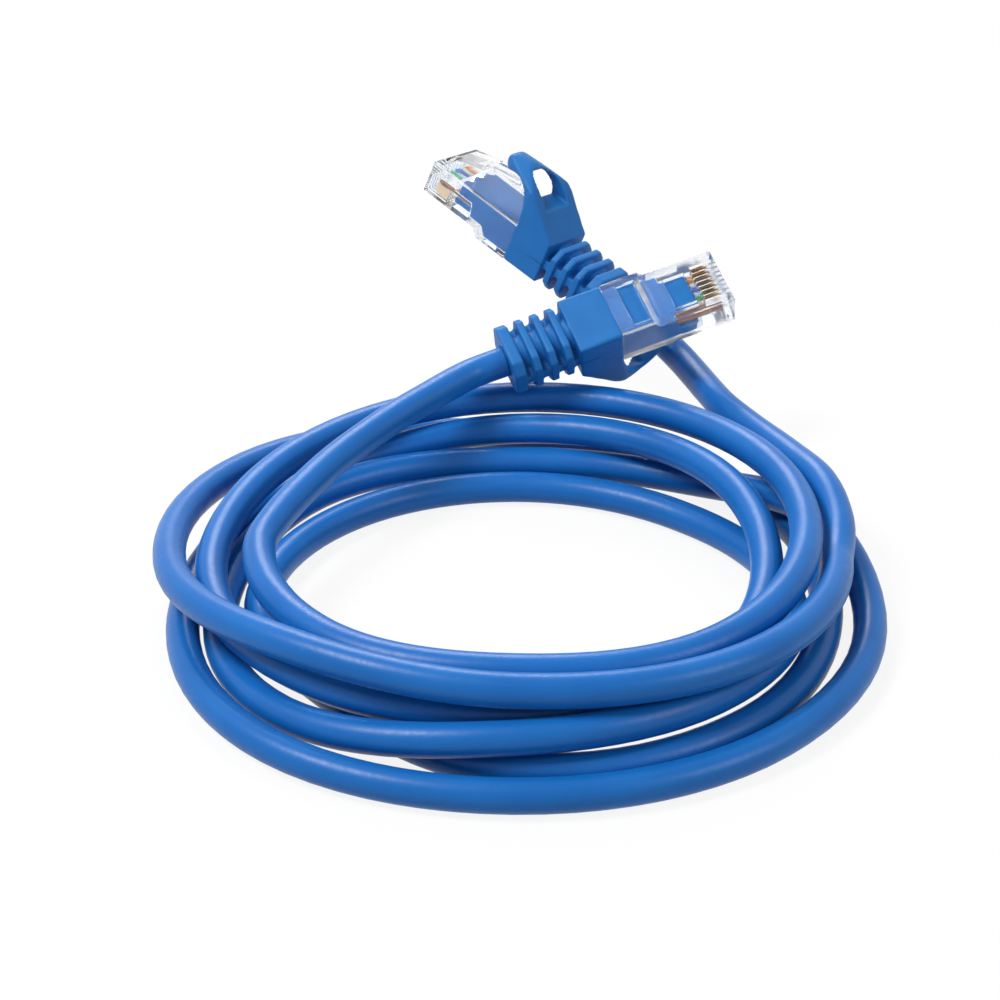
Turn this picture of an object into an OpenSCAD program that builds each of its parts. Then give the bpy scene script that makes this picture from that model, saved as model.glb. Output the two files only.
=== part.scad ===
// Network patch cable: a coiled round cord with a clear eight-way plug and a moulded boot on each end.
// Each plug has its own axes: x from its cord side to its nose, y across, z towards its latch.

/* [Cord] */
// Outer diameter of the cord
cord_d = 5.4; // [4.8:0.1:5.5]
// Wall of the cord's jacket
jacket_t = 0.6; // [0.4:0.05:0.8]
// Length of the stripped cord's jacket that reaches into the plug
jacket_reach = 4; // [2:0.5:5]

/* [Coil] */
// Rings of the tube in one turn of the coil
coil_rings = 24; // [24:8:32]

/* [Plug housing] */
// Length of the clear housing
plug_l = 21.46; // [20:0.1:23]
// Width of the clear housing
plug_w = 11.68; // [11.5:0.02:12]
// Height of the housing at its cord end
rear_h = 8; // [7.6:0.1:8.4]
// Height of the housing at its nose
nose_h = 6.6; // [6.2:0.1:7]
// Length of the taller part of the housing
rear_l = 7.3; // [7:0.1:8]
// Wall of the housing
housing_t = 0.9; // [0.7:0.05:1]

/* [Contacts and wires] */
// Number of ways
ways = 8; // [8]
// Distance between two contacts
pitch = 1.02; // [1:0.01:1.04]
// Thickness of a contact blade
blade_t = 0.35; // [0.3:0.01:0.4]
// Length of a contact blade along the plug
blade_l = 3.2; // [2.8:0.1:3.4]
// Diameter of an insulated wire
wire_d = 0.96; // [0.9:0.02:0.98]
// Diameter of the copper in a wire
copper_d = 0.5; // [0.4:0.02:0.54]

/* [Latch] */
// Width of the latch at its catch
latch_w = 6; // [5.6:0.1:6.2]
// Width of the latch's finger tab
tab_w = 3.3; // [3:0.1:4]
// Thickness of the latch
latch_t = 0.9; // [0.8:0.05:1.1]
// Height of the tab's end above the housing
latch_rise = 5.2; // [4.6:0.1:5.4]

/* [Boot] */
// Length of the boot's block behind the housing
block_l = 8; // [7.5:0.1:8.5]
// Number of thin ribs behind the block
ribs = 3; // [3]
// Thickness of a thin rib
rib_t = 1.5; // [1.3:0.05:1.7]
// Distance from one rib to the next
rib_pitch = 2.95; // [2.8:0.05:3]
// Thickness of the end flange
flange_t = 2.2; // [2:0.1:2.4]
// Height of the hood's shoulders above the plug's axis
hood_h = 11; // [10.6:0.1:11.4]
// Width of the arched hole through the hood
hole_w = 5.6; // [5:0.1:6]
// Length of the boot's tongue inside the housing
tongue_l = 10.4; // [9:0.1:10.8]

/* [Hidden] */
$fn = 48;
// Sideways shift that puts the middle of the whole cable's footprint over the origin
layout = [-0.8, -0.8, 0];

// Running gap of a fitted piece, and the gap round a latch's bead
fit = 0.1;
hinge_fit = 0.2;
// Depth of a cut that passes right through a face
through = 1;

// ---- Places of the plugs: the middle of the housing's cord end, and its turns about x, y and z
plug_a_at = [3.4, 65.4, 30.4];
plug_a_turn = [6.8, -20.7, 140.5];
plug_b_at = [17.8, 33.9, 26.6];
plug_b_turn = [-150.8, -13.9, 16.5];

// ---- Derived sizes of a plug
top_z = rear_h / 2;
bottom_z = -rear_h / 2;
nose_z = top_z - nose_h;
row_w = (ways - 1) * pitch;
cavity_w = plug_w - 2 * housing_t;
cavity_l = tongue_l + fit;
cavity_top = top_z - housing_t;
cavity_low = bottom_z + housing_t;
cavity_high = nose_z + housing_t;
step_l = 1.2;
channel_z = nose_z + 3.1;
channel_h = wire_d + 2 * fit;
channel_end = plug_l - 1.9;
blade_end = plug_l - 1.6;
blade_start = blade_end - blade_l;
slot_w = blade_t + 2 * fit;
row_slot_w = row_w + wire_d + 2 * fit;
blade_low = nose_z + 0.5;
housing_edge = 0.35;
nose_cut = 0.6;
jacket_bore = cord_d - 2 * jacket_t;

// ---- Derived sizes of a boot
rib_1 = block_l + rib_pitch - rib_t / 2 - 0.3;
flange_x = rib_1 + ribs * rib_pitch;
boot_end = flange_x + flange_t - rib_t / 2;
sleeve_d = cord_d + 2;
boot_edge = 0.5;
block_taper = 0.8;
hood_lip = 7.2;
rib_w = plug_w - 0.5;
rib_h = rear_h + 0.4;
rib_cut = 1.6;
spine_w = plug_w - 1.1;

// ---- The wires spread from two levels at the jacket's mouth into one row
mouth_pitch = 0.55;
mouth_w = 4.8;
fan_z = 0.6;
spread_x = 7.6;
row_x = 9.8;

// ---- The latch's bead at the nose, in its groove
bead_r = 0.6;
hinge_x = plug_l - 1.3;
hinge_z = top_z + 0.2;

// Routes of the two leads from their boots to the coil, then through the air beside it
lead_a_via = [
    [26.4, 49.1, 17.9], [30.6, 45, 15.2], [33.4, 38.7, 14.3], [35.4, 32.6, 14.1], [37.8, 26.4, 13.8],
    [42.2, 18.8, 13.2], [47.8, 8, 13.4], [51.9, -2.6, 13.9], [53.5, -13.5, 12.4]];
lead_b_via = [
    [-9.6, 23.8, 20], [-14.4, 18.8, 19.3], [-19.2, 13.6, 18.6], [-24.8, 7, 17.5],
    [-30.2, -0.4, 16.4], [-35, -8.8, 15.2], [-38.6, -16.5, 14.1]];

// Middle of the coil
coil_at = [0, -24];
// Height of a turn that lies on the floor, where the tube is cut flat by a tenth of its diameter
flat_cut = cord_d / 10;
lay_z = cord_d / 2 - flat_cut;

// Stations of the coil, eight to a turn: distance from the coil's middle, and height.
// They start at the right and run clockwise, seen from above.
stations = [
    [52.2, 11], [49.1, 13.5], [45, 14.5], [46.6, 14.8], [55, 10.4], [62, 6.5], [61.5, lay_z], [56.8, lay_z],
    [51, lay_z], [50.3, lay_z], [47.9, lay_z], [39, lay_z], [40.7, lay_z], [41, lay_z], [41, lay_z],
    [42, lay_z],
    [44.8, 4.2], [46.6, 7.3], [48.2, 8.4], [49, 4], [46.9, lay_z], [46.7, 5.7], [46.4, 4.8], [51, 4.2],
    [57.4, 2.8], [56.5, lay_z], [54.7, lay_z], [55, lay_z], [52.8, lay_z], [52.9, 4.4], [50.8, 9.2], [46, 11.7],
    [41.1, 9.4], [40.5, 7.8], [42.1, 8.5], [44.4, 8.5], [48.5, 8.5], [51, 12.3], [55.4, 13.2], [52.4, 14.9],
    [47.1, 15], [43.1, 13.8], [38.9, 14], [39.3, 13.1], [40.5, 13.3]];
stations_per_turn = 8;
// Hump where the third turn passes over the first: its station, rise and half width in stations
hump = [23.5, 5.1, 0.45];

ends = ["a", "b"];

// ---- Places and turns of the plugs

function turn_x(p, a) = [p.x, p.y * cos(a) - p.z * sin(a), p.y * sin(a) + p.z * cos(a)];
function turn_y(p, a) = [p.x * cos(a) + p.z * sin(a), p.y, p.z * cos(a) - p.x * sin(a)];
function turn_z(p, a) = [p.x * cos(a) - p.y * sin(a), p.x * sin(a) + p.y * cos(a), p.z];
function plug_at(e) = e == "a" ? plug_a_at : plug_b_at;
function plug_turn(e) = e == "a" ? plug_a_turn : plug_b_turn;
function on_plug(e, p) = let (t = plug_turn(e))
    plug_at(e) + turn_z(turn_y(turn_x(p, t.x), t.y), t.z);

module at_plug(e) {
    translate(layout + plug_at(e)) rotate(plug_turn(e)) children();
}

// A profile drawn in x and z, as thick as w across the plug
module side_cut(w) {
    rotate([90, 0, 0]) linear_extrude(w, center = true) children();
}

// A profile drawn in y and z, from one x to another
module end_cut(from, to) {
    translate([from, 0, 0]) rotate([90, 0, 90]) linear_extrude(to - from) children();
}

// A rod along the plug, from one x to another
module rod(from, to, d, at = [0, 0]) {
    translate([from, at[0], at[1]]) rotate([0, 90, 0]) cylinder(d = d, h = to - from);
}

// ---- A tube of flat-sided rings along a path, which keeps its rings above a floor

function unit(v) = v / norm(v);
function heading(path, i, first, last) = i == 0 ? first : i == len(path) - 1 ? last
    : unit(unit(path[i + 1] - path[i]) + unit(path[i] - path[i - 1]));
function ring(centre, dir, d, sides, floor_z) =
    let (side = unit(cross([0, 0, 1], dir)), up = cross(dir, side))
    [for (k = [0:sides - 1]) let (
        a = 360 * k / sides,
        p = centre + d / 2 * (cos(a) * side + sin(a) * up))
        [p.x, p.y, max(p.z, floor_z)]];

module tube(path, d, sides, first, last, floor_z = 0) {
    n = len(path);
    points = [for (i = [0:n - 1]) each ring(path[i], heading(path, i, first, last), d, sides, floor_z)];
    walls = [for (i = [0:n - 2], k = [0:sides - 1]) let (
        a = i * sides + k, b = i * sides + (k + 1) % sides, c = b + sides, d = a + sides)
        each [[a, d, c], [a, c, b]]];
    caps = [for (k = [1:sides - 2]) each [[0, k, k + 1], (n - 1) * sides * [1, 1, 1] + [0, k + 1, k]]];
    polyhedron(points, concat(walls, caps), convexity = 10);
}

function path_length(path) = sum_of([for (i = [1:len(path) - 1]) norm(path[i] - path[i - 1])]);
function sum_of(v) = v * [for (x = v) 1];

// ---- The cord: a coil through its stations, and a lead from each boot to an end of the coil

// A smooth curve through stations b and c, where t goes from 0 to 1 and a and d lie on either side
function between(a, b, c, d, t) =
    (2 * b + (c - a) * t + (2 * a - 5 * b + 4 * c - d) * t * t + (3 * b - a - 3 * c + d) * t * t * t) / 2;
last_station = len(stations) - 1;
function station(i) = i < 0 ? 2 * stations[0] - stations[1]
    : i > last_station ? 2 * stations[last_station] - stations[last_station - 1] : stations[i];

// A point of the coil's axis, u stations from its start
function coil_point(u) = let (
    i = min(floor(u), last_station - 1),
    s = between(station(i - 1), station(i), station(i + 1), station(i + 2), u - i),
    over = hump[1] * exp(-pow((u - hump[0]) / hump[2], 2)),
    a = -360 * u / stations_per_turn)
    [coil_at.x + s[0] * cos(a), coil_at.y + s[0] * sin(a), max(s[1], lay_z) + over];

// Both ends of the coil are straight for one cord diameter
rings_per_station = coil_rings / stations_per_turn;
last_ring = last_station * rings_per_station;
straight = [0, cord_d, 0];
coil_start = coil_point(0);
coil_end = coil_point(last_station);
coil_path = concat(
    [coil_start, coil_start - straight],
    [for (k = [1:last_ring - 1]) coil_point(k / rings_per_station)],
    [coil_end - straight, coil_end]);

function lead_path(e) = concat(
    [on_plug(e, [-boot_end, 0, 0]), on_plug(e, [-boot_end - cord_d, 0, 0])],
    e == "a" ? lead_a_via : lead_b_via,
    [e == "a" ? coil_start : coil_end]);

echo(cord_length = path_length(coil_path) + path_length(lead_path("a")) + path_length(lead_path("b")));

// Least gap of the coil to itself, from four points between two rings, half a turn apart or more
fine = [for (k = [0:4 * last_ring]) coil_point(k / (4 * rings_per_station))];
apart = 2 * coil_rings;
echo(coil_least_gap = min([for (i = [0:len(fine) - 1 - apart], j = [i + apart:len(fine) - 1])
    norm(fine[i] - fine[j])]) - cord_d);

module cord_coil() {
    color("royalblue") translate(layout) tube(coil_path, cord_d, 6, [0, -1, 0], [0, 1, 0]);
}

module cord_lead(e) {
    path = lead_path(e);
    color("royalblue") translate(layout) tube(path, cord_d, 10, unit(path[1] - path[0]), [0, -1, 0]);
}

// The cord's last stretch, from the boot's end face to the jacket's cut edge inside the plug
module jacket_end(e) {
    color("royalblue") at_plug(e) difference() {
        rod(-boot_end, jacket_reach, cord_d);
        rod(-boot_end - through, jacket_reach + through, jacket_bore);
    }
}

// ---- Boot: block, hood with its arched tunnel, ribs on a spine, and the tongue inside the housing

// The block closes the housing's cord end and tapers on the contact side
module boot_block() {
    intersection() {
        end_cut(-block_l, 0) cut_corners(plug_w, bottom_z, top_z, boot_edge);
        side_cut(plug_w) polygon([
            [-block_l, bottom_z + block_taper], [0, bottom_z], [0, top_z], [-block_l, top_z]]);
    }
}

// An upright rectangle with its four corners cut off
module cut_corners(w, low, high, cut) {
    polygon([for (s = [-1, 1]) each [for (p = s < 0
        ? [[-w / 2 + cut, high], [-w / 2, high - cut], [-w / 2, low + cut], [-w / 2 + cut, low]]
        : [[w / 2 - cut, low], [w / 2, low + cut], [w / 2, high - cut], [w / 2 - cut, high]]) p]]);
}

// The hood rises from the block and arches over the latch's tab: its side, its back and its plan
module hood_side() {
    h = hood_h;
    polygon([
        [-block_l, top_z - 0.5], [-block_l, top_z + 0.3], [-1, h], [1.6, h + 2.2], [3.6, h + 3.4],
        [6.4, h + 3.5], [8.6, h + 2.5], [10, h + 1.1], [9.9, h - 0.4], [7.5, h - 0.7], [4.4, h - 0.8],
        [2.4, h - 1.6], [1.2, h - 3], [0.5, h - 5.3], [0, top_z + 0.4], [0, top_z - 0.5]]);
}

module hood_back() {
    w = plug_w / 2;
    h = hood_h;
    polygon([
        [-w, 0], [w, 0], [w, h], [w - 1.6, h + 1.9], [w - 3.2, h + 3.2], [w - 4.8, h + 3.8],
        [4.8 - w, h + 3.8], [3.2 - w, h + 3.2], [1.6 - w, h + 1.9], [-w, h]]);
}

module hood_plan() {
    w = plug_w / 2;
    polygon([
        [-block_l, -w], [-1, -w], [3.5, 1.2 - w], [7.5, 2.8 - w], [9.6, 4.4 - w], [10.2, 0],
        [9.6, w - 4.4], [7.5, w - 2.8], [3.5, w - 1.2], [-1, w], [-block_l, w]]);
}

module hood_tunnel() {
    arch_z = hood_h + 2.2 - hole_w / 2;
    end_cut(-block_l - through, hood_lip) {
        translate([-hole_w / 2, hood_h - 2.45]) square([hole_w, arch_z - hood_h + 2.45]);
        translate([0, arch_z]) circle(d = hole_w);
    }
}

module hood() {
    difference() {
        intersection() {
            side_cut(plug_w) hood_side();
            end_cut(-block_l, 12) hood_back();
            linear_extrude(hood_h + 6) hood_plan();
        }
        hood_tunnel();
    }
}

// One cut-cornered plate of the strain relief, whose middle is x behind the housing
module rib(x, t) {
    translate([-x, 0, 0]) end_cut(-t / 2, t / 2) cut_corners(rib_w, -rib_h / 2, rib_h / 2, rib_cut);
}

module strain_relief() {
    for (i = [0:ribs - 1]) rib(rib_1 + i * rib_pitch, rib_t);
    rib(boot_end - flange_t / 2, flange_t);
    end_cut(-boot_end + flange_t / 2, -block_l + through) {
        translate([-spine_w / 2, -0.6]) square([spine_w, 1.8]);
        circle(d = sleeve_d);
    }
}

// The tongue fills the housing round the wires, up to their row, and its front edge is ridged
module tongue() {
    difference() {
        side_cut(cavity_w - 2 * fit) polygon([
            [-through, cavity_low + fit], [rear_l - 2 * fit, cavity_low + fit],
            [rear_l + step_l - 2 * fit, cavity_high + fit], [tongue_l, cavity_high + fit],
            [tongue_l, cavity_top - fit], [-through, cavity_top - fit]]);
        for (y = [-3.6:2.4:3.6])
            translate([tongue_l, y, 0]) linear_extrude(plug_w) circle(d = 1.4);
        fan_room();
    }
}

// Where the wires spread from the jacket to their row, and the row's slot in the tongue
module fan_room() {
    low = -fan_z - wire_d / 2 - fit;
    high = channel_z + fan_z + wire_d / 2 + fit;
    translate([0, 0, low]) linear_extrude(high - low) polygon([
        [jacket_reach - 0.5, -mouth_w / 2], [spread_x, -row_slot_w / 2], [row_x, -row_slot_w / 2],
        [row_x, row_slot_w / 2], [spread_x, row_slot_w / 2], [jacket_reach - 0.5, mouth_w / 2]]);
    translate([spread_x, -row_slot_w / 2, channel_z - channel_h / 2])
        cube([tongue_l, row_slot_w, channel_h]);
}

module boot(e) {
    color("dodgerblue") at_plug(e) difference() {
        union() {
            boot_block();
            hood();
            strain_relief();
            tongue();
        }
        rod(-boot_end - through, jacket_reach + fit, cord_d + fit);
    }
}

// ---- Housing: a clear shell with its cavity, wire channel, contact slots, crimp windows and hinge groove

module housing_outside() {
    intersection() {
        end_cut(0, plug_l) cut_corners(plug_w, bottom_z, top_z, housing_edge);
        side_cut(plug_w) polygon([
            [0, bottom_z], [rear_l, bottom_z], [rear_l + step_l, nose_z], [plug_l - nose_cut, nose_z],
            [plug_l, nose_z + nose_cut], [plug_l, top_z - nose_cut], [plug_l - nose_cut, top_z], [0, top_z]]);
    }
}

module housing_cavity() {
    side_cut(cavity_w) polygon([
        [-through, cavity_low], [rear_l - fit, cavity_low], [rear_l + step_l - fit, cavity_high],
        [cavity_l, cavity_high], [cavity_l, cavity_top], [-through, cavity_top]]);
    translate([cavity_l - through, -row_slot_w / 2, channel_z - channel_h / 2])
        cube([channel_end - cavity_l + through, row_slot_w, channel_h]);
}

function way_y(i) = (i - (ways + 1) / 2) * pitch;

// Each slot runs from the contact face up into the wire channel, and is open at the nose
module contact_slots() {
    for (i = [1:ways])
        translate([blade_start - fit, way_y(i) - slot_w / 2, nose_z - through])
            cube([plug_l, slot_w, channel_z - nose_z + through]);
}

module crimp_windows() {
    window_w = row_slot_w - 4 * fit;
    translate([2.9, -window_w / 2, bottom_z - through]) cube([3.3, window_w, through + 0.5]);
    translate([13, -3, nose_z - through]) cube([3, 6, through + 0.9]);
    for (y = [-2.9, 2.9]) translate([1.5, y, bottom_z - through]) cylinder(d = 2.2, h = through + 0.15);
}

module hinge_bead(r, w) {
    translate([hinge_x, 0, hinge_z]) rotate([90, 0, 0]) cylinder(r = r, h = w, center = true);
}

module housing(e) {
    color("aliceblue", 0.5) at_plug(e) difference() {
        housing_outside();
        housing_cavity();
        contact_slots();
        crimp_windows();
        hinge_bead(bead_r + hinge_fit, latch_w + 2 * hinge_fit);
    }
}

// ---- Latch: a lever that rises from its bead at the nose, wide up to its catch and narrow beyond it

// A strip of one thickness along a line of points in x and z, mitred where it bends
module strip(line) {
    n = len(line);
    sides = [for (i = [0:n - 1]) let (
        before = unit(line[i] - line[max(i - 1, 0)] + (i == 0 ? line[1] - line[0] : [0, 0])),
        after = unit(line[min(i + 1, n - 1)] - line[i] + (i == n - 1 ? line[i] - line[i - 1] : [0, 0])),
        middle = unit(before + after))
        latch_t / 2 / (middle * before) * [-middle.y, middle.x]];
    polygon(concat([for (i = [0:n - 1]) line[i] + sides[i]], [for (i = [n - 1:-1:0]) line[i] - sides[i]]));
}

module latch(e) {
    root = [hinge_x, hinge_z];
    rise = [hinge_x - 1.3, top_z + 1.8];
    catch = [12.6, top_z + latch_rise * 0.68];
    tab_end = [5, top_z + latch_rise - latch_t / 2];
    color("aliceblue", 0.6) at_plug(e) {
        hinge_bead(bead_r, latch_w);
        side_cut(latch_w) strip([root, rise, catch]);
        side_cut(tab_w) strip([root, rise, catch, tab_end]);
    }
}

// ---- Contacts, insulated wires and their copper

// A blade with a rounded contact corner and two teeth that pierce the insulation up to the copper
module contact(e, i) {
    shoulder = channel_z - wire_d / 2 - 0.2;
    tip = channel_z - copper_d / 2 - 0.03;
    corner = 0.8;
    color("gold") at_plug(e) translate([0, way_y(i), 0]) side_cut(blade_t) {
        polygon([
            [blade_start, blade_low], [blade_end - corner, blade_low],
            for (a = [-75:15:-15]) [blade_end - corner, blade_low + corner] + corner * [cos(a), sin(a)],
            [blade_end, blade_low + corner], [blade_end, shoulder], [blade_start, shoulder]]);
        for (x = [blade_start, blade_end - 0.8])
            polygon([[x, shoulder - 0.1], [x + 0.8, shoulder - 0.1], [x + 0.5, tip], [x + 0.3, tip]]);
    }
}

// Insulation of ways 1 to 8: white and orange, orange, white and green, blue, and so on
wire_colours = ["moccasin", "orange", "honeydew", "blue", "lightcyan", "green", "linen", "saddlebrown"];

// Odd ways leave the jacket in its upper row and even ways in its lower row, and meet in one row
module wire(e, i) {
    level = i % 2 == 1 ? fan_z : -fan_z;
    mouth = [jacket_reach + fit, way_y(i) * mouth_pitch / pitch, level];
    spread = [spread_x, way_y(i), channel_z + level];
    row = [row_x, way_y(i), channel_z];
    end = [channel_end - fit, way_y(i), channel_z];
    forward = [1, 0, 0];
    color(wire_colours[i - 1]) at_plug(e) {
        tube([mouth, spread, row], wire_d - 0.04, 8, forward, forward, bottom_z);
        difference() {
            rod(row.x, end.x, wire_d, [row.y, row.z]);
            rod(row.x + fit, channel_end, copper_d + 0.04, [row.y, row.z]);
            translate([blade_start - fit, way_y(i) - blade_t / 2 - 0.03, channel_z - wire_d])
                cube([blade_l + 2 * fit, blade_t + 0.06, wire_d - copper_d / 2 + 0.06]);
        }
    }
}

module copper_cores(e) {
    color("peru") at_plug(e) for (i = [1:ways])
        rod(row_x + fit, channel_end - fit, copper_d, [way_y(i), channel_z]);
}

// ---- Each piece by itself, or the whole cable

cord_coil();
for (e = ends) {
    cord_lead(e);
    boot(e);
    jacket_end(e);
    housing(e);
    latch(e);
    copper_cores(e);
    for (i = [1:ways]) {
        contact(e, i);
        wire(e, i);
    }
}
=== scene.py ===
# %% [markdown]
# # Network patch cable
#
# A coil of round blue cord with a clear eight-way plug on each end. The imported model is the frame:
# every piece made here lies where its solids are, in metres. The steps are the camera, the cord,
# the finishes, the wires and contacts, the moulded boots, the clear plugs, their levers, and the
# floor and light.

# %% Load the frame
import math

import bmesh
import bpy
from mathutils import Euler, Matrix, Vector


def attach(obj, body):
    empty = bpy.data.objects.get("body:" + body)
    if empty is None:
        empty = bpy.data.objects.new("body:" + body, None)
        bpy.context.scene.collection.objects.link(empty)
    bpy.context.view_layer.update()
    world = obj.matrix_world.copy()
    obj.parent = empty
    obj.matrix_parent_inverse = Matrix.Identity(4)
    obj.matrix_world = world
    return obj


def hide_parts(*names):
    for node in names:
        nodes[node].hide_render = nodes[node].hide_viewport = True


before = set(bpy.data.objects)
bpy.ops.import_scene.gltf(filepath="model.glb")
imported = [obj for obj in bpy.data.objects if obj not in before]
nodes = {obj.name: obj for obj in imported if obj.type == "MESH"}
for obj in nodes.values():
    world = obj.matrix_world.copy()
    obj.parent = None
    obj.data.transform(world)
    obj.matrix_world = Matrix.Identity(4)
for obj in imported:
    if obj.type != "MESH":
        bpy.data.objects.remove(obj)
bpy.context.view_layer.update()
MM = 0.001
ENDS = ("a", "b")
WAYS = range(1, 9)

# %% [markdown]
# ## Camera
#
# The camera stands in front of the coil and looks down on it at 28 degrees. A short lens close by
# would swell the front of the coil. A long lens from about 450 mm away keeps its oval even, with
# the plugs rising above its back.

# %% Camera
LAYOUT = Vector((-0.8, -0.8, 0.0))  # shift of the whole cable, in millimetres
CAMERA_AT = Vector((-1.9, -394.0, 218.6))
LOOK_DOWN = 28
LENS, SENSOR = 95.04, 36
NEAREST = 0.01

camera = bpy.data.objects.new("camera", bpy.data.cameras.new("camera"))
bpy.context.scene.collection.objects.link(camera)
camera.data.lens = LENS
camera.data.sensor_width = SENSOR
camera.data.clip_start = NEAREST
camera.location = (CAMERA_AT + LAYOUT) * MM
camera.rotation_euler = (math.radians(90 - LOOK_DOWN), 0, 0)
bpy.context.scene.camera = camera
print("camera at", [round(v, 4) for v in camera.location])

# %% [markdown]
# ## The cord's route
#
# The cord leaves plug a's boot, runs down to the coil, winds five and a half turns clockwise and
# rises to plug b's boot. A plain helix would lie too neatly. So the coil goes through stations,
# eight to a turn, each a distance from the coil's middle and a height, with a smooth curve between
# them. One long hump carries the third turn over the first. The leads go through points of their
# own, and start straight on their plugs' axes.

# %% Route sizes
CORD_D = 5.4
BOOT_END = 20.2  # from the plug's rear face to the boot's end
PLUG_AT = {"a": Vector((3.4, 65.4, 30.4)), "b": Vector((17.8, 33.9, 26.6))}
PLUG_TURN = {"a": (6.8, -20.7, 140.5), "b": (-150.8, -13.9, 16.5)}
LAY = CORD_D / 2  # height of a strand that lies on the floor
LEAD_VIA = {
    "a": [
        (26.4, 49.1, 17.9), (30.6, 45, 15.2), (33.4, 38.7, 14.3), (35.4, 32.6, 14.1), (37.8, 26.4, 13.8),
        (42.2, 18.8, 13.2), (47.8, 8, 13.4), (51.9, -2.6, 13.9), (53.5, -13.5, 12.4)],
    "b": [
        (-9.6, 23.8, 20), (-14.4, 18.8, 19.3), (-19.2, 13.6, 18.6), (-24.8, 7, 17.5),
        (-30.2, -0.4, 16.4), (-35, -8.8, 15.2), (-38.6, -16.5, 14.1)],
}
COIL_AT = (0, -24)
HUMP_AT, HUMP_RISE, HUMP_WIDTH = 23.5, 5.1, 0.45  # in stations, millimetres and stations
PER_TURN = 8
STATIONS = [
    (52.2, 11), (49.1, 13.5), (45, 14.5), (46.6, 14.8), (55, 10.4), (62, 6.5), (61.5, LAY), (56.8, LAY),
    (51, LAY), (50.3, LAY), (47.9, LAY), (39, LAY), (40.7, LAY), (41, LAY), (41, LAY),
    (42, LAY), (44.8, 4.2), (46.6, 7.3), (48.2, 8.4), (49, 4), (46.9, LAY), (46.7, 5.7), (46.4, 4.8),
    (51, 4.2), (57.4, 2.8), (56.5, LAY), (54.7, LAY), (55, LAY), (52.8, LAY), (52.9, 4.4), (50.8, 9.2),
    (46, 11.7), (41.1, 9.4), (40.5, 7.8), (42.1, 8.5), (44.4, 8.5), (48.5, 8.5), (51, 12.3),
    (55.4, 13.2), (52.4, 14.9), (47.1, 15), (43.1, 13.8), (38.9, 14), (39.3, 13.1), (40.5, 13.3)]
COIL_STEPS = 10  # points from one station to the next
LEAD_STEP, RING_STEP = 1.6, 1.5
MEETING = 0.35  # how many stations into the coil a lead's curve looks
last = len(STATIONS) - 1
print(round(last / PER_TURN, 1), "turns of coil")


# %% Route
def on_plug(end, point):
    """A point of plug end's own axes, in millimetres of the frame."""
    turn = Euler([math.radians(v) for v in PLUG_TURN[end]]).to_matrix()
    return LAYOUT + PLUG_AT[end] + turn @ Vector(point)


def smooth(a, b, c, d, t):
    """The curve through b and c, with a and d on either side."""
    return (2 * b + (c - a) * t + (2 * a - 5 * b + 4 * c - d) * t * t + (3 * b - a - 3 * c + d) * t**3) / 2


def coil_point(u):
    """The coil's axis u stations from its start."""
    i = min(int(u), last - 1)
    near = [Vector(STATIONS[min(max(k, 0), last)]) for k in range(i - 1, i + 3)]
    if i == 0:
        near[0] = 2 * near[1] - near[2]
    if i == last - 1:
        near[3] = 2 * near[2] - near[1]
    radius, height = smooth(*near, u - i)
    height = max(height, LAY) + HUMP_RISE * math.exp(-(((u - HUMP_AT) / HUMP_WIDTH) ** 2))
    angle = -2 * math.pi * u / PER_TURN
    return LAYOUT + Vector(
        (COIL_AT[0] + radius * math.cos(angle), COIL_AT[1] + radius * math.sin(angle), height))


def lead_points(end, coil_end, towards):
    """Plug end's lead, from its boot to the coil's end, smooth through its points."""
    through = [on_plug(end, (-BOOT_END, 0, 0)), on_plug(end, (-BOOT_END - CORD_D, 0, 0))]
    through += [LAYOUT + Vector(p) for p in LEAD_VIA[end]] + [coil_end]
    line = [2 * through[0] - through[1]] + through + [towards]
    out = []
    for i in range(1, len(line) - 2):
        steps = max(2, round((line[i + 1] - line[i]).length / LEAD_STEP))
        out += [smooth(*line[i - 1:i + 3], k / steps) for k in range(steps)]
    return out


def even(points, step):
    """The same line with points an even step apart."""
    out, left = [points[0]], step
    for p, q in zip(points, points[1:]):
        run = (q - p).length
        while run >= left:
            p = p + (q - p) * (left / run)
            run -= left
            left = step
            out.append(p)
        left -= run
    return out + [points[-1]]


route = lead_points("a", coil_point(0), coil_point(MEETING))
route += [coil_point(k / COIL_STEPS) for k in range(last * COIL_STEPS + 1)]
route += lead_points("b", coil_point(last), coil_point(last - MEETING))[::-1]
route = even(route, RING_STEP)

# %% [markdown]
# ## The cord
#
# The jacket is a round extruded tube. A bevelled curve would give it quickly, but its twist and
# its UVs wander at tight bends. Here each ring carries the last ring's upward direction on, so the
# jacket's UVs run straight along it: U goes round, V goes along in cord diameters. The rings never
# dip under the floor.

# %% Cord
SIDES = 28


def finish_piece(name, bm):
    """Makes an object of a bmesh, with its faces pointing outwards."""
    mesh = bpy.data.meshes.new(name)
    bmesh.ops.recalc_face_normals(bm, faces=bm.faces)
    bm.to_mesh(mesh)
    bm.free()
    piece = bpy.data.objects.new(name, mesh)
    bpy.context.scene.collection.objects.link(piece)
    return piece


def cord_rings(bm, line, radius):
    """Rings of vertices round a line in millimetres, and how far along it each lies."""
    rings, lengths, far = [], [], 0.0
    up = Vector((0, 0, 1))
    for i, p in enumerate(line):
        ahead = (line[min(i + 1, len(line) - 1)] - line[max(i - 1, 0)]).normalized()
        up = (up - ahead * up.dot(ahead)).normalized()
        side = ahead.cross(up)
        ring = []
        for k in range(SIDES):
            a = 2 * math.pi * k / SIDES
            q = p + radius * (math.cos(a) * side + math.sin(a) * up)
            ring.append(bm.verts.new((q.x * MM, q.y * MM, max(q.z, 0) * MM)))
        far += (p - line[i - 1]).length if i else 0
        rings.append(ring)
        lengths.append(far / (2 * radius))
    return rings, lengths


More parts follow.
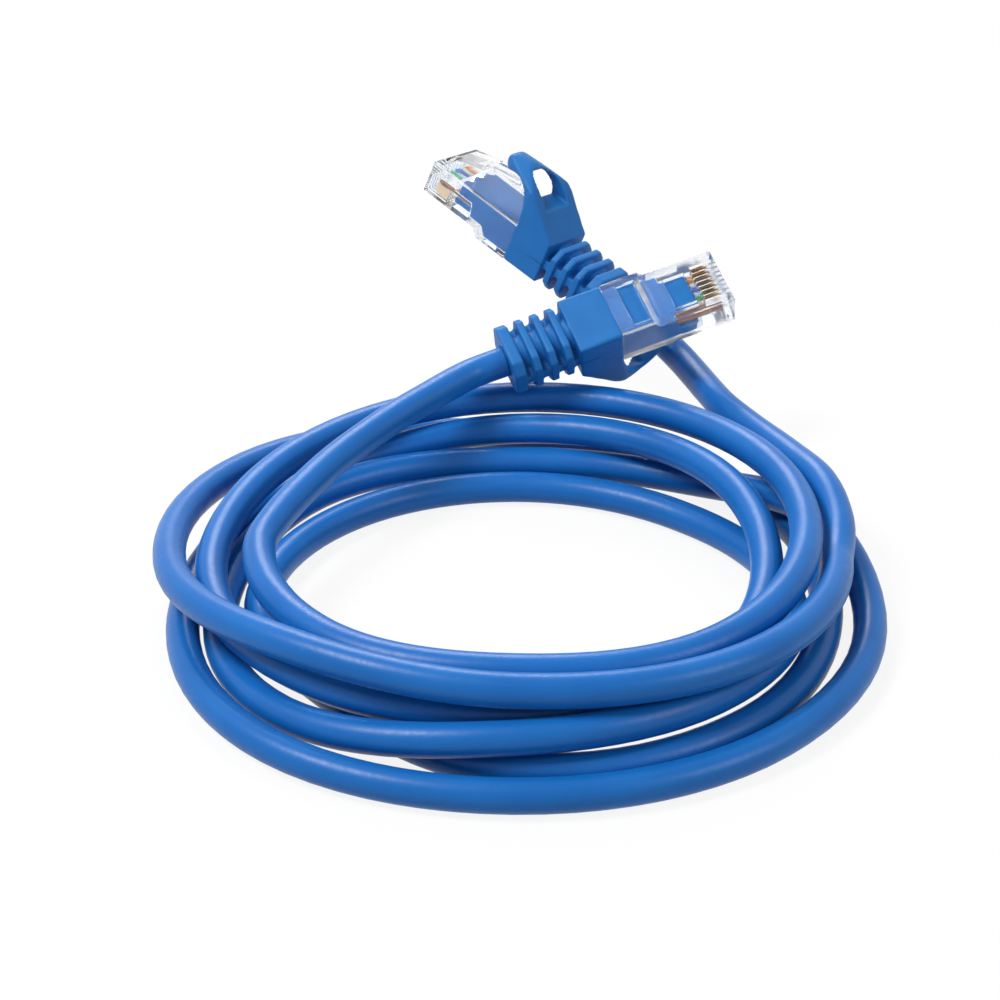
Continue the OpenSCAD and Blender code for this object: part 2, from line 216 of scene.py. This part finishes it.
def sweep(name, line, radius):
    """A round tube along a line, closed at both ends, with UVs round and along it."""
    bm = bmesh.new()
    uv = bm.loops.layers.uv.new("along")
    rings, lengths = cord_rings(bm, line, radius)
    for i in range(len(rings) - 1):
        for k in range(SIDES):
            m = (k + 1) % SIDES
            face = bm.faces.new((rings[i][k], rings[i][m], rings[i + 1][m], rings[i + 1][k]))
            face.smooth = True
            for loop, (u, v) in zip(face.loops, ((k, i), (k + 1, i), (k + 1, i + 1), (k, i + 1))):
                loop[uv].uv = (u / SIDES, lengths[v])
    bm.faces.new(rings[0][::-1])
    bm.faces.new(rings[-1])
    bm.normal_update()
    return finish_piece(name, bm)


cord = sweep("cord_jacket", route, CORD_D / 2)
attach(cord, "cable")
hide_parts("cord_coil", "cord_lead_a", "cord_lead_b")
print(len(cord.data.polygons), "faces of cord")

# %% [markdown]
# ## Finishes
#
# The cord is smooth soft PVC, the boots a slightly duller one, the contacts are gold plated and the
# plugs are clear polycarbonate. A flat colour looks like paint, and a scanned surface would need a
# file. So each finish is a small node tree on object coordinates: a colour with a little
# variation, a roughness that varies as well, and a fine bump.


# %% Texture nodes
MIDDLE = (0.3, 0.7)  # where most of a noise lies


def new_material(name, roughness, **sockets):
    """A material with its shader, its nodes, its links and its object coordinates."""
    material = bpy.data.materials.new(name)
    material.use_nodes = True
    tree = material.node_tree
    shader = tree.nodes["Principled BSDF"]
    shader.inputs["Roughness"].default_value = roughness
    for socket, value in sockets.items():
        shader.inputs[socket.replace("_", " ")].default_value = value
    place = tree.nodes.new("ShaderNodeTexCoord").outputs["Object"]
    return material, shader, tree, place


def texture(tree, place, scale, detail=3.0):
    """A noise that repeats about scale times in a metre."""
    noise = tree.nodes.new("ShaderNodeTexNoise")
    noise.inputs["Scale"].default_value = scale
    noise.inputs["Detail"].default_value = detail
    tree.links.new(place, noise.inputs["Vector"])
    return noise.outputs["Fac"]


def spread(tree, value, low, high):
    """Maps a texture's middle range onto low to high."""
    ranged = tree.nodes.new("ShaderNodeMapRange")
    ranged.inputs["From Min"].default_value = MIDDLE[0]
    ranged.inputs["From Max"].default_value = MIDDLE[1]
    ranged.inputs["To Min"].default_value = low
    ranged.inputs["To Max"].default_value = high
    tree.links.new(value, ranged.inputs["Value"])
    return ranged.outputs["Result"]


def two_tone(tree, shader, value, dark, light):
    """Colours a shader between two tones."""
    mix = tree.nodes.new("ShaderNodeMix")
    mix.data_type = "RGBA"
    mix.inputs["A"].default_value = (*dark, 1)
    mix.inputs["B"].default_value = (*light, 1)
    tree.links.new(value, mix.inputs["Factor"])
    tree.links.new(mix.outputs["Result"], shader.inputs["Base Color"])


def bump(tree, shader, value, distance, strength=0.5):
    """Roughens a shader's surface by a height, in metres."""
    node = tree.nodes.new("ShaderNodeBump")
    node.inputs["Strength"].default_value = strength
    node.inputs["Distance"].default_value = distance
    tree.links.new(value, node.inputs["Height"])
    tree.links.new(node.outputs["Normal"], shader.inputs["Normal"])


# %% Solid plastics and metals
GRAIN_DETAIL = 5.0
SHINE = (-0.05, 0.07)  # how far the grain takes the roughness down and up


def plastic(name, dark, light, roughness, patch=90, grain=2600, depth=0.00003, **sockets):
    """Moulded or extruded plastic, or plating: broad soft variation and a fine grain."""
    material, shader, tree, place = new_material(name, roughness, **sockets)
    broad = texture(tree, place, patch)
    fine = texture(tree, place, grain, GRAIN_DETAIL)
    two_tone(tree, shader, spread(tree, broad, 0, 1), dark, light)
    shine = spread(tree, fine, roughness + SHINE[0], roughness + SHINE[1])
    tree.links.new(shine, shader.inputs["Roughness"])
    bump(tree, shader, fine, depth)
    return material


JACKET = plastic(
    "blue_pvc_jacket", (0.004, 0.112, 0.4), (0.008, 0.138, 0.46), 0.34, patch=60, grain=1500,
    depth=0.00004, Specular_IOR_Level=0.24)
BOOT = plastic(
    "blue_boot", (0.008, 0.13, 0.4), (0.012, 0.155, 0.46), 0.5, patch=120, depth=0.00005,
    Specular_IOR_Level=0.24)
GOLD = plastic("gold_plating", (0.86, 0.62, 0.4), (0.95, 0.76, 0.55), 0.32, grain=4000, Metallic=1.0)
COPPER = plastic("copper_core", (0.72, 0.34, 0.18), (0.85, 0.45, 0.27), 0.3, Metallic=1.0)
print("blue, gold and copper mixed")

# %% Clear plastic
CLEAR_IOR = 1.22  # under polycarbonate's own 1.58, which draws dark lines along edges and rooms
HAZE = (0.1, 0.19)
FLOW_SCALE, FLOW_DETAIL = 300, 2.0
FLOW_DEPTH, FLOW_STRENGTH = 0.00003, 0.2


def clear_plastic(name, tint):
    """Polished polycarbonate with a faint haze and flow marks."""
    material, shader, tree, place = new_material(
        name, HAZE[0], Base_Color=(*tint, 1), IOR=CLEAR_IOR, Transmission_Weight=0.975)
    flow = texture(tree, place, FLOW_SCALE, FLOW_DETAIL)
    tree.links.new(spread(tree, flow, *HAZE), shader.inputs["Roughness"])
    bump(tree, shader, flow, FLOW_DEPTH, FLOW_STRENGTH)
    return material


CLEAR = clear_plastic("clear_housing", (0.93, 0.96, 1.0))
CLEAR_LATCH = clear_plastic("clear_latch", (0.93, 0.95, 0.97))
print(len(bpy.data.materials), "materials")

# %% [markdown]
# ## Wires and contacts
#
# Eight thin wires fan out in each plug, in four colours and their white partners, and a gold blade
# bites into each. Their solids are already true to size and show only through clear plastic, so
# they stay as they are and get finishes. A stripe would need UVs that wind round each wire. A noise
# pushed to two tones gives the white wires their flecks without any.

# %% Wire insulation
WIRE_TINTS = (
    ("white_orange", (0.83, 0.72, 0.6), (0.8, 0.32, 0.08)), ("orange", (0.75, 0.26, 0.04), None),
    ("white_green", (0.76, 0.82, 0.74), (0.1, 0.5, 0.2)), ("blue", (0.04, 0.12, 0.5), None),
    ("white_blue", (0.72, 0.78, 0.88), (0.05, 0.18, 0.6)), ("green", (0.04, 0.4, 0.14), None),
    ("white_brown", (0.8, 0.68, 0.62), (0.3, 0.12, 0.06)), ("brown", (0.3, 0.12, 0.06), None))
WIRE_ROUGHNESS, WIRE_SHADE = 0.38, 0.92
FLECK_SCALE, FLECK_EDGE = 500, (0.58, 0.62)


def insulation(name, tint, stripe):
    """One wire's colour, and on the white ones broad flecks of their partner's colour."""
    if stripe is None:
        return plastic(name, [WIRE_SHADE * c for c in tint], tint, WIRE_ROUGHNESS)
    material, shader, tree, place = new_material(name, WIRE_ROUGHNESS)
    flecks = texture(tree, place, FLECK_SCALE, 0.0)
    ramp = tree.nodes.new("ShaderNodeValToRGB")
    for element, position, colour in zip(ramp.color_ramp.elements, FLECK_EDGE, (tint, stripe)):
        element.position = position
        element.color = (*colour, 1)
    tree.links.new(flecks, ramp.inputs["Fac"])
    tree.links.new(ramp.outputs["Color"], shader.inputs["Base Color"])
    return material


WIRES = [insulation("insulation_" + name, tint, stripe) for name, tint, stripe in WIRE_TINTS]
print(len(WIRES), "wire colours")


# %% Coats for the cord and the solids
def coat(piece, material):
    """Gives a piece one material in place of its own."""
    piece.data.materials.clear()
    piece.data.materials.append(material)


coat(cord, JACKET)
for end in ENDS:
    coat(nodes["jacket_end_" + end], JACKET)
    coat(nodes["copper_cores_" + end], COPPER)
    for way in WAYS:
        coat(nodes[f"contact_{end}_{way}"], GOLD)
        coat(nodes[f"wire_{end}_{way}"], WIRES[way - 1])
print("wires and contacts have their finishes")

# %% [markdown]
# ## Shapes drawn on a plug
#
# Boots and plugs are moulded parts. They could be pushed out of one box face by face, but a moulded
# part is easier to think of as a drawing pulled through the plug, then trimmed by other drawings.
# Each shape is made in its plug's own axes in millimetres: x runs from the cord side to the nose,
# y across and z towards the lever. The last step carries it to where the plug lies.


# %% Outlines
def through_points(points, steps=5):
    """A smooth outline through a line of points."""
    line = [Vector(p) for p in points]
    line = [2 * line[0] - line[1]] + line + [2 * line[-1] - line[-2]]
    run = [smooth(*line[i - 1:i + 3], k / steps) for i in range(1, len(line) - 2) for k in range(steps)]
    return run + [line[-2]]


def mirrored(points):
    """A half outline, from its side to the middle line, and its reflection."""
    return [Vector((u, v)) for u, v in points] + [Vector((-u, v)) for u, v in points[::-1] if u]


def cut_corners(w, low, high, cut):
    """An upright rectangle with its corners cut off."""
    half = w / 2
    right = [(half - cut, low), (half, low + cut), (half, high - cut), (half - cut, high)]
    return right + [(-u, v) for u, v in right[::-1]]


# %% Solids from outlines
def drawn(outline, along, low, high, edge=0.0):
    """A solid with an outline across one axis of the plug, between two places on that axis."""
    bm = bmesh.new()
    order = {"x": (2, 0, 1), "y": (0, 2, 1), "z": (0, 1, 2)}[along]
    rim = [bm.verts.new([(u, v, low)[k] for k in order]) for u, v in outline]
    cap = bm.faces.new(rim)
    pulled = bmesh.ops.extrude_face_region(bm, geom=[cap])["geom"]
    step = Vector([(0, 0, high - low)[k] for k in order])
    bmesh.ops.translate(bm, verts=[v for v in pulled if isinstance(v, bmesh.types.BMVert)], vec=step)
    if edge:
        bmesh.ops.bevel(
            bm, geom=bm.edges[:], offset=edge, offset_type="OFFSET", segments=3, profile=0.5,
            affect="EDGES", clamp_overlap=True, material=-1)
    return finish_piece("shape", bm)


def block(x, y, z):
    """A box between its limits along the plug, across it and towards the lever."""
    return drawn([(x[0], y[0]), (x[1], y[0]), (x[1], y[1]), (x[0], y[1])], "z", *z)


def round_bar(along, radius, low, high, at=(0.0, 0.0), sides=48):
    """A round bar along one axis, through a point of the other two."""
    turn = [2 * math.pi * k / sides for k in range(sides)]
    outline = [(at[0] + radius * math.cos(a), at[1] + radius * math.sin(a)) for a in turn]
    return drawn(outline, along, low, high)


# %% Trimming and joining
def settle(piece, **modifiers):
    """Applies modifiers, each named by its type with its settings."""
    for kind, settings in modifiers.items():
        modifier = piece.modifiers.new(kind, kind)
        for name, value in settings.items():
            setattr(modifier, name, value)
    depsgraph = bpy.context.evaluated_depsgraph_get()
    mesh = bpy.data.meshes.new_from_object(piece.evaluated_get(depsgraph))
    piece.modifiers.clear()
    old, piece.data = piece.data, mesh
    bpy.data.meshes.remove(old)
    return piece


def trim(piece, *tools, operation="DIFFERENCE"):
    """Cuts a shape with others, or keeps what they share, and removes them."""
    for tool in tools:
        settle(piece, BOOLEAN={"object": tool, "operation": operation, "solver": "EXACT"})
        bpy.data.objects.remove(tool)
    return piece


def together(shapes):
    """All shapes in the mesh of the first."""
    bm = bmesh.new()
    for shape in shapes:
        bm.from_mesh(shape.data)
    for shape in shapes[1:]:
        bpy.data.objects.remove(shape)
    bm.to_mesh(shapes[0].data)
    bm.free()
    return shapes[0]


def put_on_plug(piece, end, name, material, node, crisp=None):
    """Carries a finished shape from its plug's axes to where the plug lies."""
    turn = Euler([math.radians(v) for v in PLUG_TURN[end]]).to_matrix().to_4x4()
    piece.data.transform(Matrix.Scale(MM, 4) @ Matrix.Translation(LAYOUT + PLUG_AT[end]) @ turn)
    piece.data.polygons.foreach_set("use_smooth", [True] * len(piece.data.polygons))
    if crisp:
        piece.data.set_sharp_from_angle(angle=math.radians(crisp))
    piece.name = piece.data.name = name
    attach(piece, "cable")
    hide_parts(f"{node}_{end}")
    coat(piece, material)
    print(name, len(piece.data.polygons), "faces")


# %% [markdown]
# ## Boots
#
# A soft PVC boot grips the plug and the cord. Its hood is a curved plate that leans over the
# lever, with an arched hole through it; thin plates on a sleeve make the part that bends; and a
# tongue of the same plastic fills most of the plug. Bevels on so many crossing cuts tend to break,
# and sculpting would lose the sizes. So drawings from the side, from behind and from above give
# each form, and the shapes are then fused and smoothed with an even skin, which gives every edge
# a small soft round. The hood's crest is rounder still, so it is smoothed by itself before its
# hole is cut.

# %% Boot sizes
PLUG_W, TOP_Z, BOTTOM_Z = 11.68, 4.0, -4.0
PAST = 1.0  # how far a cutting shape runs on past what it cuts
SUNK = 1.0  # how far the sleeve and spine reach into the block and the flange
ACROSS = (-7, 7)  # wider than the plug, for what is trimmed right across
SKIN, SKIN_ROUNDS = 0.23, 3  # size of the even skin's faces, and how often they are smoothed
BLOCK_L, BLOCK_RISE, BLOCK_CORNER = 8.0, 0.5, 0.45
BLOCK_SIDE = [(-8.5, -3.7), (0, BOTTOM_Z), (0, 5), (-8.5, 5)]
RIBS, RIB_AT, RIB_PITCH, RIB_T, FLANGE_T = 3, 9.9, 2.95, 1.4, 2.2
RIB_W, RIB_H, RIB_CUT = 11.5, 8.6, 1.8
SLEEVE_R, BORE_R = 3.35, 2.75
SPINE_W, SPINE_Z = 10.58, (-0.6, 1.2)
print("boot", round(BOOT_END, 1), "mm long,", PLUG_W, "mm wide")

# %% Hood
HOOD_SIDE = [
    (-8, 4.3), (-4.3, 7.65), (-0.9, 10.8), (1.2, 12.35), (3.1, 13.4), (5.1, 14), (6.9, 14.1),
    (8.1, 13.7), (9, 12.8), (9.5, 11.8), (9.5, 11), (9, 10.4), (8, 10.4), (6.5, 10.9),
    (4.4, 11.4), (3, 11), (1.8, 10.1), (1, 8.6), (0.5, 6.8), (0.2, 5), (0, 4.3)]
HOOD_BACK = [(5.84, 3), (5.84, 11), (4.7, 11.8), (3.4, 12.55), (2.2, 13.2), (1.2, 13.7), (0, 14)]
HOOD_PLAN = [
    (-9, 5.84), (-1, 5.84), (0.5, 5.7), (2, 5.2), (3.5, 4.6), (5, 4), (6.5, 3.3), (8, 2.5), (9, 1.75),
    (9.7, 0.95), (9.95, 0)]
HOOD_ROOT_Z = 3.5  # the hood starts inside the block
HOOD_X, HOOD_Z = 11, (3, 16)  # how far the drawings from behind and above are pulled
HOLE_HALF, HOLE_TOP, SILL_Z, ARCH_Z = 3.45, 13.3, 8.4, 10.2
HOLE_SIDE = [(-10, 8), (6.9, 8), (4.6, 11.4), (2.7, 13.9), (-10, 14.2)]
TUNNEL_X, TUNNEL_Y = (-10, 8), (-4, 4)
ARCH_STEPS, ARCH_POWER = 24, 0.75  # under 1, the power makes the arch squarer than a half circle
SOFT_FROM, SOFT_OVER, SOFT_ROUNDS = 10.5, 3, 40  # where the crest starts to be rounded, and how much


def hood_plate():
    """The leaning plate, where the drawings from three sides meet."""
    side = [(-BLOCK_L, HOOD_ROOT_Z)] + through_points(HOOD_SIDE) + [(0, HOOD_ROOT_Z)]
    plate = drawn(side, "y", -PLUG_W / 2, PLUG_W / 2)
    behind = drawn(mirrored(HOOD_BACK), "x", -BLOCK_L - PAST, HOOD_X)
    half_plan = through_points(HOOD_PLAN)
    above = drawn(half_plan + [Vector((u, -v)) for u, v in half_plan[-2::-1]], "z", *HOOD_Z)
    return trim(plate, behind, above, operation="INTERSECT")


def round_crest(plate):
    """Smooths the plate more and more towards its crest."""
    settle(plate, REMESH={"mode": "VOXEL", "voxel_size": SKIN})
    soft = plate.vertex_groups.new(name="soft")
    for vert in plate.data.vertices:
        soft.add([vert.index], min(max((vert.co.z - SOFT_FROM) / SOFT_OVER, 0), 1), "REPLACE")
    return settle(plate, SMOOTH={"factor": 0.5, "iterations": SOFT_ROUNDS, "vertex_group": "soft"})


def hood_tunnel():
    """The arched hole, whose far end slopes with the plate."""
    turn = [math.pi / 2 * k / ARCH_STEPS for k in range(ARCH_STEPS)]
    arch = [
        (HOLE_HALF * math.cos(a) ** ARCH_POWER, ARCH_Z + (HOLE_TOP - ARCH_Z) * math.sin(a) ** ARCH_POWER)
        for a in turn]
    tunnel = drawn(mirrored([(HOLE_HALF, SILL_Z)] + arch + [(0, HOLE_TOP)]), "x", *TUNNEL_X)
    return trim(tunnel, drawn(HOLE_SIDE, "y", *TUNNEL_Y), operation="INTERSECT")


def hood():
    """The rounded plate with its arched hole."""
    return trim(round_crest(hood_plate()), hood_tunnel())


print("arch", 2 * HOLE_HALF, "mm wide and", round(HOLE_TOP - SILL_Z, 1), "mm high before its skin")

# %% Over-mould
WALL = 1.0  # of the clear plug, round the tongue
OVER_L, OVER_HALF, OVER_ROOT = 15.3, 4.84, 1.0
STEP_X = (6.2, 7.3)  # where the tongue's underside steps up
SHELF_X, SHELF_Z = (10.4, 10.9), (-1.5, 1.1, 1.15)
LIP_X, LIP_HALF, LIP_Z = 8, 3.4, (-1.6, -0.1)
NOTCHES = [(-4.4, 1.1), (-2.5, 0.6), (-1.2, 0.9), (0.6, 0.5), (2, 1.2), (3.4, 0.5), (4.6, 0.9)]
NOTCH_Z, NOTCH_SIDES = (-2, 4), 16
MOUTH_X = 4.1  # where the cord's jacket ends in the tongue
WIRE_FAN, FAN_Z = [(3.5, 2.4), (7.6, 4.15), (9.8, 4.15)], (-1.18, 1.68)
ROW_END, ROW_HALF, ROW_Z = 16, 4.15, (-0.08, 1.08)


def overmould(gap=0.0):
    """The boot's plastic inside the plug, in two shapes, or the room for it with a gap round it."""
    low, top = BOTTOM_Z + WALL - gap, TOP_Z - WALL + gap
    side = [
        (-OVER_ROOT, low), (STEP_X[0] + gap, low), (STEP_X[1] + gap, LIP_Z[0] - gap),
        (SHELF_X[0] + gap, SHELF_Z[0] - gap), (SHELF_X[1] + gap, SHELF_Z[1] - gap),
        (OVER_L + gap, SHELF_Z[2] - gap), (OVER_L + gap, top), (-OVER_ROOT, top)]
    return [
        drawn(side, "y", -OVER_HALF - gap, OVER_HALF + gap),
        block((LIP_X, OVER_L + gap), (-LIP_HALF - gap, LIP_HALF + gap), (LIP_Z[0] - gap, LIP_Z[1] + gap))]


def wire_room():
    """Where the wires spread from the cord's mouth to their row."""
    return [
        drawn(WIRE_FAN[::-1] + [(u, -v) for u, v in WIRE_FAN], "z", *FAN_Z),
        block((WIRE_FAN[1][0], ROW_END), (-ROW_HALF, ROW_HALF), ROW_Z)]


print("tongue", OVER_L, "mm long")

# %% Boots
LEAN_FROM = 9
LEAN = {"a": (0.055, 0.0), "b": (-0.02, -0.09)}  # how far each soft crest has bent, across and down
SEAM_Z, SEAM_DEPTH = (0.12, 0.28), (-0.05, 0.06)
SEAMS = (((-BLOCK_L + 0.1, -0.1), PLUG_W / 2), ((-19, -BLOCK_L), SPINE_W / 2))


def bored(shape, *rooms):
    """A shape with the cord's room cut out of it, and any other rooms."""
    return trim(shape, round_bar("x", BORE_R, -BOOT_END - PAST, MOUTH_X), *rooms)


def rib(x, t):
    """A thin plate with cut corners, x behind the plug's rear face and t thick."""
    return bored(
        drawn(cut_corners(RIB_W, -RIB_H / 2, RIB_H / 2, RIB_CUT), "x", -x - t / 2, -x + t / 2))


def boot_shapes():
    """All the shapes that are fused into a boot."""
    base = trim(
        drawn(cut_corners(PLUG_W, BOTTOM_Z, TOP_Z + BLOCK_RISE, BLOCK_CORNER), "x", -BLOCK_L, 0),
        drawn(BLOCK_SIDE, "y", *ACROSS), operation="INTERSECT")
    tongue, lip = overmould()
    trim(tongue, *[round_bar("z", r, *NOTCH_Z, (OVER_L, y), NOTCH_SIDES) for y, r in NOTCHES])
    shapes = [bored(base), hood(), bored(tongue, *wire_room()), bored(lip, *wire_room())]
    shapes += [rib(RIB_AT + k * RIB_PITCH, RIB_T) for k in range(RIBS)]
    shapes.append(rib(BOOT_END - FLANGE_T / 2, FLANGE_T))
    inside = (-BOOT_END + SUNK, -BLOCK_L + SUNK)
    shapes.append(bored(round_bar("x", SLEEVE_R, *inside)))
    shapes.append(bored(block(inside, (-SPINE_W / 2, SPINE_W / 2), SPINE_Z)))
    return shapes


def lean(boot, across, down):
    """Bends the hood's crest, the more the higher it is."""
    for vert in boot.data.vertices:
        rise = max(vert.co.z - LEAN_FROM, 0) ** 2
        vert.co.y += across * rise
        vert.co.z += down * rise


for end in ENDS:
    boot = settle(
        together(boot_shapes()),
        REMESH={"mode": "VOXEL", "voxel_size": SKIN},
        SMOOTH={"factor": 0.5, "iterations": SKIN_ROUNDS})
    lean(boot, *LEAN[end])
    seams = [
        block(x, (side * y + SEAM_DEPTH[0], side * y + SEAM_DEPTH[1]), SEAM_Z)
        for side in (-1, 1) for x, y in SEAMS]
    together([boot] + seams)
    put_on_plug(boot, end, "moulded_boot_" + end, BOOT, "boot")

# %% [markdown]
# ## Clear plugs
#
# The housing is polished clear plastic, so what counts is its outside with small clean rounds and
# the rooms inside it: for the boot's tongue, the wires and the contacts, and the two crimped
# windows on the contact side. Rounding the finished shape easily leaves spikes where rooms break
# through the wall. So the outside is rounded first, and the rooms are cut out after.

# %% Clear plugs
PLUG_L, NOSE_Z, EDGE = 21.46, -2.6, 0.35
HOUSING_SIDE = [
    (0, BOTTOM_Z), (7.3, BOTTOM_Z), (8.5, NOSE_Z), (PLUG_L, NOSE_Z), (PLUG_L, TOP_Z), (0, TOP_Z)]
TONGUE_GAP = 0.08
CHANNEL_X = (10, 19.56)
PITCH, MIDDLE_WAY = 1.02, 4.5
SLOT_X, SLOT_HALF, SLOT_Z = (16.66 - 0.1, 23), 0.275, (-4, 0.5)
WINDOWS = (((2.7, 5.9), (-4.4, 4.4), (-5, -2.9)), ((11.2, 15.2), (-3.2, 3.2), (-4, -1.5)))
PIT_AT, PIT_R, PIT_Z = ((1.5, -3.6), (1.5, 3.6)), 1.1, (-5, -3.85)  # the mould's ejector marks
GROOVE_AT, GROOVE_R, GROOVE_HALF = (20.16, 4.2), 0.8, 3.2  # where the lever's root sits
CRISP = 28  # degrees between two faces from which their edge stays sharp


def slot(way):
    """The narrow slot over one blade."""
    y = (way - MIDDLE_WAY) * PITCH
    return block(SLOT_X, (y - SLOT_HALF, y + SLOT_HALF), SLOT_Z)


def plug_rooms():
    """Everything that is hollow in a clear plug, and the marks in its outside."""
    rooms = overmould(TONGUE_GAP) + [block(CHANNEL_X, (-ROW_HALF, ROW_HALF), ROW_Z)]
    rooms += [slot(way) for way in WAYS]
    rooms += [block(*window) for window in WINDOWS]
    rooms += [round_bar("z", PIT_R, *PIT_Z, at, 32) for at in PIT_AT]
    return rooms + [round_bar("y", GROOVE_R, -GROOVE_HALF, GROOVE_HALF, GROOVE_AT, 32)]


for end in ENDS:
    shell = drawn(HOUSING_SIDE, "y", -PLUG_W / 2, PLUG_W / 2, edge=EDGE)
    trim(shell, *plug_rooms())
    put_on_plug(shell, end, "clear_plug_" + end, CLEAR, "housing", CRISP)

# %% [markdown]
# ## Levers
#
# The lever on top of each plug is a plain bent strip, moulded in one with its housing. Drawing it
# again would only repeat its solid, so it starts as a copy of that, whose loose triangles are
# merged into clean faces and whose crisp edges get a small round.

# %% Levers
LEVER_EDGE = 0.12
SAME_PLACE = 0.000002  # vertices this close, in metres, are one
FLAT = 0.6  # degrees by which faces may differ and still merge


def rounded_copy(node, name):
    """A copy of a node's solid with rounded edges."""
    bm = bmesh.new()
    bm.from_mesh(nodes[node].data)
    bmesh.ops.remove_doubles(bm, verts=bm.verts, dist=SAME_PLACE)
    bmesh.ops.dissolve_limit(
        bm, angle_limit=math.radians(FLAT), verts=bm.verts, edges=bm.edges, delimit={"NORMAL"})
    crisp = [e for e in bm.edges if e.is_manifold and e.calc_face_angle() > math.radians(CRISP)]
    bmesh.ops.bevel(
        bm, geom=crisp, offset=LEVER_EDGE * MM, offset_type="OFFSET", segments=2, profile=0.5,
        affect="EDGES", clamp_overlap=True, material=-1)
    for face in bm.faces:
        face.smooth = True
    piece = finish_piece(name, bm)
    piece.data.set_sharp_from_angle(angle=math.radians(CRISP))
    return piece


for end in ENDS:
    lever = rounded_copy("latch_" + end, "clear_lever_" + end)
    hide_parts("latch_" + end)
    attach(lever, "latch_" + end)
    coat(lever, CLEAR_LATCH)
    print(lever.name, len(lever.data.polygons), "faces")

# %% [markdown]
# ## The cord's far end
#
# The cord is one length of something flexible. It leaves plug a's boot and ends in plug b. Its
# route is given point by point, because it lies in its own coil and doesn't hang from anything.

# %% The cord's far end
print("the cord ends in plug b")

# %% [markdown]
# ## Floor and light
#
# The cable lies on white paper that runs on to a white background. Paper lit until it is white
# would flood the blue with light from below. So the paper glows nearly white only for what looks
# at it straight, by a reflection or through clear plastic, and to all other light it is a matt mid
# grey. A little of that grey shows too, which keeps a faint shadow. A key light from the left,
# a side light from the right and a light from behind draw soft highlights along the cord.

# %% White seen from anywhere
FLOOR_HALF, FLOOR_DROP = 1.2, 0.0001
FLOOR_GREY, FLOOR_ROUGHNESS, FLOOR_GLOW, GLOW_STRENGTH = 0.5, 0.8, 0.82, 1.08


def shown_white(tree):
    """1 for rays from the camera and for mirrored and refracted ones, which see a white studio."""
    ray = tree.nodes.new("ShaderNodeLightPath")
    seen = ray.outputs["Is Camera Ray"]
    for kind in ("Is Glossy Ray", "Is Transmission Ray"):
        either = tree.nodes.new("ShaderNodeMath")
        either.operation = "MAXIMUM"
        tree.links.new(seen, either.inputs[0])
        tree.links.new(ray.outputs[kind], either.inputs[1])
        seen = either.outputs[0]
    return seen


# %% Floor
paper = bpy.data.materials.new("white_paper")
paper.use_nodes = True
tree = paper.node_tree
matt = tree.nodes["Principled BSDF"]
matt.inputs["Base Color"].default_value = (FLOOR_GREY, FLOOR_GREY, FLOOR_GREY, 1)
matt.inputs["Roughness"].default_value = FLOOR_ROUGHNESS
glow = tree.nodes.new("ShaderNodeEmission")
glow.inputs["Color"].default_value = (1, 1, 1, 1)
glow.inputs["Strength"].default_value = GLOW_STRENGTH
lit = tree.nodes.new("ShaderNodeMath")
lit.operation = "MULTIPLY"
lit.inputs[1].default_value = FLOOR_GLOW
mix = tree.nodes.new("ShaderNodeMixShader")
tree.links.new(shown_white(tree), lit.inputs[0])
tree.links.new(lit.outputs[0], mix.inputs["Fac"])
tree.links.new(matt.outputs["BSDF"], mix.inputs[1])
tree.links.new(glow.outputs["Emission"], mix.inputs[2])
tree.links.new(mix.outputs["Shader"], tree.nodes["Material Output"].inputs["Surface"])

floor_mesh = bmesh.new()
bmesh.ops.create_grid(floor_mesh, x_segments=1, y_segments=1, size=FLOOR_HALF)
floor = finish_piece("studio_floor", floor_mesh)
floor.location.z = -FLOOR_DROP
coat(floor, paper)
print("floor", 2 * FLOOR_HALF, "m square")

# %% World
WORLD_LIGHT, WORLD_WHITE = 0.33, 1.0

world = bpy.data.worlds.new("studio")
bpy.context.scene.world = world
world.use_nodes = True
sky = world.node_tree
backdrop = sky.nodes["Background"]
backdrop.inputs["Color"].default_value = (1, 1, 1, 1)
backdrop.inputs["Strength"].default_value = WORLD_LIGHT
white = sky.nodes.new("ShaderNodeBackground")
white.inputs["Color"].default_value = (1, 1, 1, 1)
white.inputs["Strength"].default_value = WORLD_WHITE
choose = sky.nodes.new("ShaderNodeMixShader")
sky.links.new(shown_white(sky), choose.inputs["Fac"])
sky.links.new(backdrop.outputs["Background"], choose.inputs[1])
sky.links.new(white.outputs["Background"], choose.inputs[2])
sky.links.new(choose.outputs["Shader"], sky.nodes["World Output"].inputs["Surface"])
print("world strength", WORLD_LIGHT)

# %% Lights
TARGET = Vector((0, 0, 0.01))
LIGHTS = (  # name, place and size in metres, watts
    ("key", (-0.45, -0.15, 0.7), 0.28, 6),
    ("side", (0.6, -0.3, 0.45), 0.3, 1.6),
    ("back", (-0.1, 0.7, 0.6), 0.36, 4))
for name, place, size, power in LIGHTS:
    lamp = bpy.data.lights.new(name, "AREA")
    lamp.shape = "SQUARE"
    lamp.size = size
    lamp.energy = power
    light = bpy.data.objects.new(name, lamp)
    bpy.context.scene.collection.objects.link(light)
    light.location = place
    light.rotation_euler = (TARGET - light.location).to_track_quat("-Z", "Y").to_euler()
bpy.context.scene.view_settings.view_transform = "Standard"
print(len(LIGHTS), "lights")
